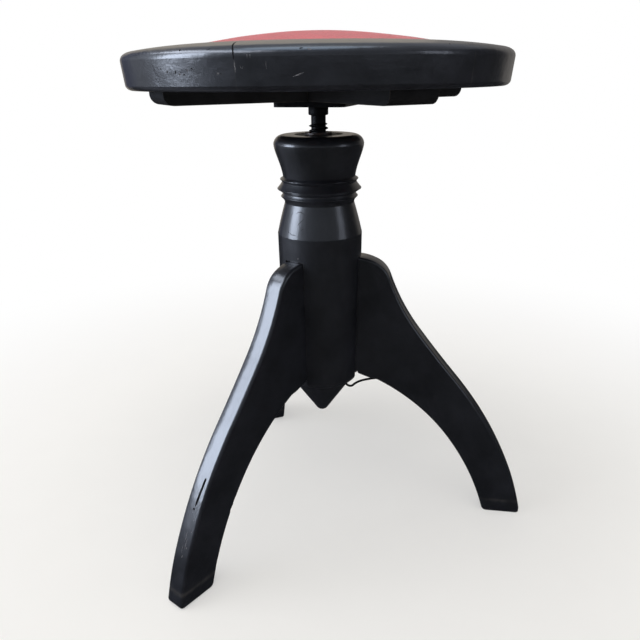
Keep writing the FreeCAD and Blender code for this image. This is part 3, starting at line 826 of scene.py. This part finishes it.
def stuffing_pad(material):
    """The hair and wadding between board and leather, a little lumpy."""
    room_left = 0.2
    inside = COVER_RADIUS - LEATHER_THICKNESS - room_left
    top = COVER_CROWN - LEATHER_THICKNESS - room_left
    edge = COVER_EDGE - LEATHER_THICKNESS - room_left
    profile = [(0, BOARD_TOP)] + [(inside * i / 6, BOARD_TOP) for i in range(1, 7)]
    profile += [(inside, 489), (inside, 493)]
    for i in range(17):
        radius = inside * (1 - i / 16)
        profile.append((radius, crown_height(radius, inside, edge, top)))

    def lumps(radius, height, angle):
        if height <= BOARD_TOP:
            return radius, height
        out = Vector((math.cos(angle) * radius, math.sin(angle) * radius, 0)) * 0.05
        lump = 0.5 + 0.5 * noise.noise(out)
        return radius - 0.3 * lump * smooth_step(120, 130, radius), height - 0.7 * lump - 0.3

    piece = mesh_object("hair_stuffing", lathe(profile, 96, lumps), material)
    shade(piece, 50)
    dress(piece, "seat", "stuffing", "seat_stuffing")


# ---- the iron spindle ----
ROWS_A_PITCH = 16
THREAD_STARTS = 14 / ROWS_A_PITCH    # of a pitch, so that a crest shows just above the washer


def thread_radius(height, turn):
    """The thread's radius at a height: thin fins, half a millimetre wide at their crests."""
    phase = ((NECK_BOTTOM - height) / THREAD_PITCH + turn + THREAD_STARTS) % 1.0
    off_crest = min(phase, 1.0 - phase)
    root, flank = 0.30, 0.24    # of a pitch: a fin's half thickness at its root, and its slope
    crest = min(1.0, max(0.0, (root - off_crest) / flank))
    run_out = smooth_step(NECK_BOTTOM + 0.4, NECK_BOTTOM - 1.4, height)
    radius = NECK_RADIUS + (THREAD_RADIUS - NECK_RADIUS) * crest * run_out
    chamfer = THREAD_RADIUS - 2.0 + (height - SPINDLE_END)
    return min(radius, max(chamfer, THREAD_RADIUS - 2.4))


def threaded_spindle(material):
    """Rivet, collar, neck and right-hand thread in one turned piece."""
    steps = 64
    row_height = THREAD_PITCH / ROWS_A_PITCH
    row_count = round((NECK_BOTTOM - SPINDLE_END) / row_height)
    vertices, faces = [], []
    count = row_count + 2 * ROWS_A_PITCH
    for i in range(steps):
        turn = i / steps
        for j in range(count):
            height = SPINDLE_END + (j - ROWS_A_PITCH + turn * ROWS_A_PITCH) * row_height
            height = min(NECK_BOTTOM, max(SPINDLE_END, height))
            vertices.append((*polar(thread_radius(height, turn), 360 * turn), height))
    for i in range(steps):
        wrap = ROWS_A_PITCH if i == steps - 1 else 0
        here, there = i * count, ((i + 1) % steps) * count
        for j in range(count - 1 - wrap):
            faces.append([here + j, there + j + wrap, there + j + 1 + wrap, here + j + 1])
    end = [(0, SPINDLE_END), (thread_radius(SPINDLE_END, 0), SPINDLE_END)]
    head = [
        (NECK_RADIUS, NECK_BOTTOM), (NECK_RADIUS, 436), (NECK_RADIUS, COLLAR_BOTTOM - 0.6),
        (NECK_RADIUS + 0.6, COLLAR_BOTTOM), (COLLAR_RADIUS - 1.0, COLLAR_BOTTOM),
        (COLLAR_RADIUS - 0.3, COLLAR_BOTTOM + 0.3), (COLLAR_RADIUS, COLLAR_BOTTOM + 1.0),
        (COLLAR_RADIUS, PLATE_BOTTOM - 0.5), (COLLAR_RADIUS - 0.4, PLATE_BOTTOM),
        (RIVET_RADIUS, PLATE_BOTTOM), (RIVET_RADIUS, BATTEN_BOTTOM), (0, BATTEN_BOTTOM),
    ]
    part = joined([(vertices, faces), lathe(end, steps), lathe(head, steps)])
    piece = mesh_object("threaded_spindle", part, material)
    shade(piece, 40)
    dress(piece, "seat", "black_iron", "spindle")


# ---- fixings ----
def slotted_screw(length, slot_turn, head_radius=4.0, shank_radius=2.0, head_height=2.4):
    """A countersunk wood screw along +Z from its head at z = 0, its slot and worm thread cut."""
    worm = length * 0.4
    rings = [(0.0, 0.0), (head_radius - 0.25, 0.0), (head_radius, 0.25)]
    rings += [(shank_radius, head_height), (shank_radius, worm)]
    while worm < length - 3:
        rings += [(shank_radius, worm + 0.4), (shank_radius - 0.7, worm + 1.0)]
        worm += 1.6
    rings += [(shank_radius - 0.9, length - 2.5), (0.0, length)]
    shank = mesh_object("screw_blank", lathe(rings, 24))
    slot_box = [(x, y, z) for x in (-6, 6) for y in (-0.55, 0.55) for z in (-1.0, 1.1)]
    box_faces = [(0, 1, 3, 2), (4, 6, 7, 5), (0, 4, 5, 1), (2, 3, 7, 6), (0, 2, 6, 4), (1, 5, 7, 3)]
    turned = placed((slot_box, box_faces), Matrix.Rotation(math.radians(slot_turn), 4, "Z"))
    return carve(shank, [mesh_object("screw_slot", turned)])


def screws(name, node, spots, length, up, material, body, seed):
    """Slotted screws at (x, y, z) spots, their heads level with the face that they close."""
    turns = random.Random(seed)
    shape = bmesh.new()
    for x, y, z in spots:
        screw = slotted_screw(length, turns.uniform(0, 180))
        over = Matrix.Identity(4) if up else Matrix.Rotation(math.pi, 4, "X")
        screw.data.transform(Matrix.Translation(Vector((x, y, z)) * MM) @ over)
        shape.from_mesh(screw.data)
        bpy.data.objects.remove(screw)
    mesh = bpy.data.meshes.new(name)
    shape.to_mesh(mesh)
    shape.free()
    coat_all(mesh, material)
    piece = in_scene(name, mesh)
    shade(piece, 30)
    dress(piece, body, "steel", node)


def all_screws(material):
    batten_spots, plate_spots = [], []
    for arm in range(4):
        turn = Matrix.Rotation(math.radians(BATTEN_ANGLE + 90 * arm), 4, "Z")
        for side in (-BATTEN_SCREW_ASIDE, BATTEN_SCREW_ASIDE):
            batten_spots.append(turn @ Vector((BATTEN_SCREW_RADIUS, side, BATTEN_BOTTOM)))
        plate_spots.append(turn @ Vector((PLATE_SCREW_RADIUS, 0, PLATE_BOTTOM)))
    nut_spots = [(*polar(NUT_SCREW_RADIUS, 120 * i + 30), COLUMN_TOP) for i in range(3)]
    screws("slotted_batten_screws", "batten_screws", batten_spots, 26, True, material, "seat", 11)
    screws("slotted_plate_screws", "plate_screws", plate_spots, 13, True, material, "seat", 12)
    screws("slotted_nut_screws", "nut_screws", nut_spots, 22, False, material, "base", 13)


def rusted_wire(material):
    """The wire under its scale of rust and old paint, which makes it a little thicker."""
    scale_thickness = 0.45
    piece = copy_of("wire_stay", "rusted_wire_stay")
    mesh = piece.data
    for vertex, normal in zip(mesh.vertices, [v.normal.copy() for v in mesh.vertices]):
        vertex.co += normal * scale_thickness * MM
    coat_all(mesh, material)
    shade(piece, 40)
    dress(piece, "base", "steel", "wire_stay")


def domed_tacks(material):
    """Hand-driven tacks: domed heads that sit a little askew."""
    turns = random.Random(7)
    radius = (TURNED_UNDER_RADIUS + LEDGE_RADIUS) / 2
    head = [(0, -0.8), (1.0, -0.72), (1.8, -0.48), (2.4, -0.12), (2.5, 0.0)]
    shank = [(0.8, 0.05), (0.8, 6.0), (0, 7.0)]
    parts = []
    for i in range(12):
        x, y = polar(radius, 30 * (i + 0.5) + BATTEN_ANGLE)
        lean = Matrix.Rotation(math.radians(turns.uniform(-4, 4)), 4, "X")
        lean = lean @ Matrix.Rotation(math.radians(turns.uniform(-4, 4)), 4, "Y")
        parts.append(placed(lathe(head + shank, 20), Matrix.Translation((x, y, LEDGE_TOP)) @ lean))
    piece = mesh_object("domed_cover_tacks", joined(parts), material)
    shade(piece, 40)
    dress(piece, "seat", "blued_steel", "cover_tacks")


# ---- light, floor and camera ----
def background_rays(tree):
    """1 for the rays that show the background: seen straight, mirrored or through glass."""
    camera = add(tree, "LightPath", out="Is Camera Ray")
    glossy = add(tree, "LightPath", out="Is Glossy Ray")
    through = add(tree, "LightPath", out="Is Transmission Ray")
    seen = add(tree, "Math", [camera, glossy], operation="MAXIMUM")
    return add(tree, "Math", [seen, through], operation="MAXIMUM")


def studio_world():
    """Even daylight on the object, in front of a white background."""
    world = bpy.data.worlds.new("studio")
    bpy.context.scene.world = world
    world.use_nodes = True
    tree = world.node_tree
    tree.nodes.clear()
    daylight = add(tree, "Background", {"Color": colour("F4F3F0"), "Strength": 0.45})
    white = add(tree, "Background", {"Color": colour("FFFFFF"), "Strength": 1.0})
    shown = add(tree, "MixShader", [background_rays(tree), daylight, white])
    add(tree, "OutputWorld", {"Surface": shown})


def soft_light(name, place, aim, size, radiance, hexadecimal, mirrored):
    """A soft rectangular light; its place is azimuth, distance and height, in degrees and mm.

    A radiance of 1 looks white. A mirrored light is what the gloss reflects, and the others
    light the surfaces.
    """
    lamp = bpy.data.lights.new(name, "AREA")
    lamp.shape = "RECTANGLE"
    lamp.size, lamp.size_y = size[0] * MM, size[1] * MM
    lamp.energy = radiance * math.pi * lamp.size * lamp.size_y
    lamp.color = colour(hexadecimal)[:3]
    holder = in_scene(name, lamp)
    azimuth, distance, height = place
    spot = Vector((*polar(distance, azimuth), height))
    holder.location = spot * MM
    holder.rotation_mode = "QUATERNION"
    holder.rotation_quaternion = (Vector((0, 0, aim)) - spot).to_track_quat("-Z", "Y")
    holder.visible_diffuse = not mirrored
    holder.visible_glossy = mirrored


def room_card(name, part, hexadecimal):
    """A plain card round the stool that only mirrored rays see, like the unlit sides of a room."""
    material, tree, _ = bare_material(name)
    shown = add(tree, "Emission", {"Color": colour(hexadecimal), "Strength": 1.0})
    add(tree, "OutputMaterial", {"Surface": shown})
    card = mesh_object(name, part, material)
    card.visible_camera = False
    card.visible_diffuse = False
    card.visible_transmission = False
    card.visible_shadow = False


def sector(first, last, inner, outer, steps=16):
    """A strip between two (radius, height) corners, from one azimuth to another."""
    vertices = []
    for i in range(steps + 1):
        angle = first + (last - first) * i / steps
        vertices += [(*polar(inner[0], angle), inner[1]), (*polar(outer[0], angle), outer[1])]
    return vertices, [(2 * i, 2 * i + 1, 2 * i + 3, 2 * i + 2) for i in range(steps)]


def room():
    """What the black gloss mirrors: a dim room, lit from the left and above."""
    far = 2300
    low, middle, edge = (far, 0), (far, 620), (far, 1900)
    room_card("dark_floor_card", sector(-180, 180, (1, 1), (far, 1), 48), "2A2B2E")
    room_card("left_floor_card", sector(154, 214, (236, 2), (far, 2)), "6E727C")
    room_card("front_low_card", sector(-146, -30, low, middle), "565A60")
    room_card("front_high_card", sector(-146, -30, middle, edge), "80868E")
    room_card("front_strip_card", sector(-112, -40, (600, 436), (600, 514)), "A8B0BC")
    room_card("right_wall_card", sector(-30, 45, low, edge), "3C3D40")
    room_card("right_back_card", sector(45, 86, low, edge), "94908C")
    room_card("back_wall_card", sector(86, 132, low, edge), "C0B8AC")
    room_card("left_back_card", sector(132, 156, low, edge), "4A4D60")
    room_card("left_wall_card", sector(156, 214, low, edge), "8A8E96")
    room_card("upper_wall_card", sector(-180, 180, edge, (1000, 2900), 48), "9A9EA6")


def pale_floor():
    """A matt white floor that carries the stool's shadow and runs into the white background."""
    material, tree, place = bare_material("matt_white_floor")
    far = add(tree, "VectorMath", [place], "Value", operation="LENGTH")
    far = add(tree, "MapRange", [far, 0.25, 1.0, 0.45, 1.0], interpolation_type="SMOOTHSTEP")
    fade = add(tree, "Math", [far, background_rays(tree)], operation="MULTIPLY")
    mottle = add(tree, "TexNoise", {"Vector": place, "Scale": every(60.0), "Detail": 3.0}, "Fac")
    tint = add(tree, "Mix", {
        SHARE: mottle, FIRST: colour("EFECE6"), SECOND: colour("F4F1EB"),
    }, MIXED, data_type="RGBA")
    matt = add(tree, "BsdfPrincipled", {
        "Base Color": tint, "Roughness": 0.9, "Specular IOR Level": 0.1,
    })
    white = add(tree, "Emission", {"Color": colour("FFFFFF"), "Strength": 1.0})
    add(tree, "OutputMaterial", {"Surface": add(tree, "MixShader", [fade, matt, white])})
    reach = 4000
    corners = [(-reach, -reach, 0), (reach, -reach, 0), (reach, reach, 0), (-reach, reach, 0)]
    mesh_object("pale_floor", (corners, [(0, 1, 2, 3)]), material)


def aim_camera():
    """At the viewing angle: level with the seat's edge, looking down to the feet."""
    camera = in_scene("camera", bpy.data.cameras.new("camera"))
    bpy.context.scene.camera = camera
    camera.data.lens = 35.615
    camera.data.sensor_width = 36.0
    camera.location = Vector((103.65, -639.97, 475.9)) * MM
    azimuth, pitch, roll = 99.31, -21.17, -0.813
    upright = heading(azimuth, pitch).to_track_quat("-Z", "Y")
    camera.rotation_mode = "QUATERNION"
    camera.rotation_quaternion = upright @ Quaternion((0, 0, 1), math.radians(roll))


# ---- the stool ----
for i in range(6):
    along = math.radians(RING_JOINT_ANGLE + 60 * i + 120)
    paint(f"ring_segment_{i + 1}", ebonised_beech(f"ebonised_beech_ring_{i + 1}", (0, 0, along)))
paint("column", ebonised_beech("ebonised_beech_column", (0, math.radians(-90), 0), 0.6, rubbed=1.0))
for i in range(3):
    grain = (0, math.radians(58), math.radians(120 * i))
    paint(f"leg_{i + 1}", ebonised_beech(f"ebonised_beech_leg_{i + 1}", grain, tide=0.3))
for node, angle in (("long_batten", BATTEN_ANGLE), ("cross_batten", BATTEN_ANGLE + 90)):
    paint(node, painted_batten(f"painted_beech_{node}", (0, 0, math.radians(angle))))
along_batten = (0, 0, math.radians(BATTEN_ANGLE))
# the board's dark browns are partly its age and partly painted shade under the seat
paint("seat_board", bare_wood("aged_pine_board_with_painted_shade", "4A3A28", "2C2118", along_batten))
for node in ("ring_dowels", "leg_dowels"):
    paint(node, bare_wood(f"birch_{node}", "D8BC8C", "B08E5C"))
paint("thrust_washer", greased_leather("greased_sole_leather"))
black_iron = blackened_metal("oil_blackened_iron", "0F1012", "4A4844", 0.5, 0.6, 0.8)
dull_steel = blackened_metal("dull_darkened_steel", "37342F", "8C877C", 0.45, 0.4, 0.9)
paint("spindle_plate", black_iron)
paint("spindle_nut", blackened_metal("blackened_cast_iron", "222325", "5E5B56", 0.5, 0.8, 0.75))
paint("stop_pin", dull_steel)
rusted_wire(blackened_metal("rusted_black_wire", "0A0A0A", "1E1A17", 0.6, 0.3, 0.2))

ring_skin = skin(*[nodes[f"ring_segment_{i}"].data for i in range(1, 7)])
column_skin = skin(nodes["column"].data)
# on the ring's pits the pale scar also paints highlights and the dark scar paints shadows
pale_scar = torn_beech("torn_beech_with_filler_and_painted_highlights", "8A8A90", "505056")
dark_scar = torn_beech("torn_beech_with_old_dirt_and_painted_shadows", "1B1A1C", "0A0A0B")
mark_ring(pale_scar, dark_scar)
mark_column(pale_scar, dark_scar)
for number in (1, 2, 3):
    leg = planed_leg(number)
    if number == 3:
        carved(leg, leg_3_marks(skin(leg.data), pale_scar, dark_scar))
    dress(leg, "base", "leg_wood", f"leg_{number}")

leather_cover(polished_cowhide("polished_red_cowhide"))
stuffing_pad(hair_and_wadding("hair_and_wadding"))
threaded_spindle(black_iron)
all_screws(dull_steel)
domed_tacks(blackened_metal("blued_steel_tacks", "20242E", "6B7078", 0.35, 0.3, 0.95))

studio_world()
left, above, right = (200, 2240, 1240), (250, 350, 1900), (-17, 2200, 960)
soft_light("left_window", left, 1240, (1620, 1820), 13.0, "DFEBFF", True)
soft_light("left_skylight", (203, 1460, 1990), 485, (2700, 640), 7.0, "E4EDFF", True)
soft_light("ceiling_light", above, 300, (1100, 1100), 2.9, "C4E1FF", True)
soft_light("right_window", right, 960, (700, 880), 2.4, "E4ECFF", True)
soft_light("left_daylight", left, 500, (1600, 1300), 3.6, "F4F7FF", False)
soft_light("ceiling_daylight", above, 300, (1100, 1100), 5.2, "FFFDFA", False)
room()
pale_floor()
aim_camera()

bpy.context.scene.view_settings.view_transform = "Standard"
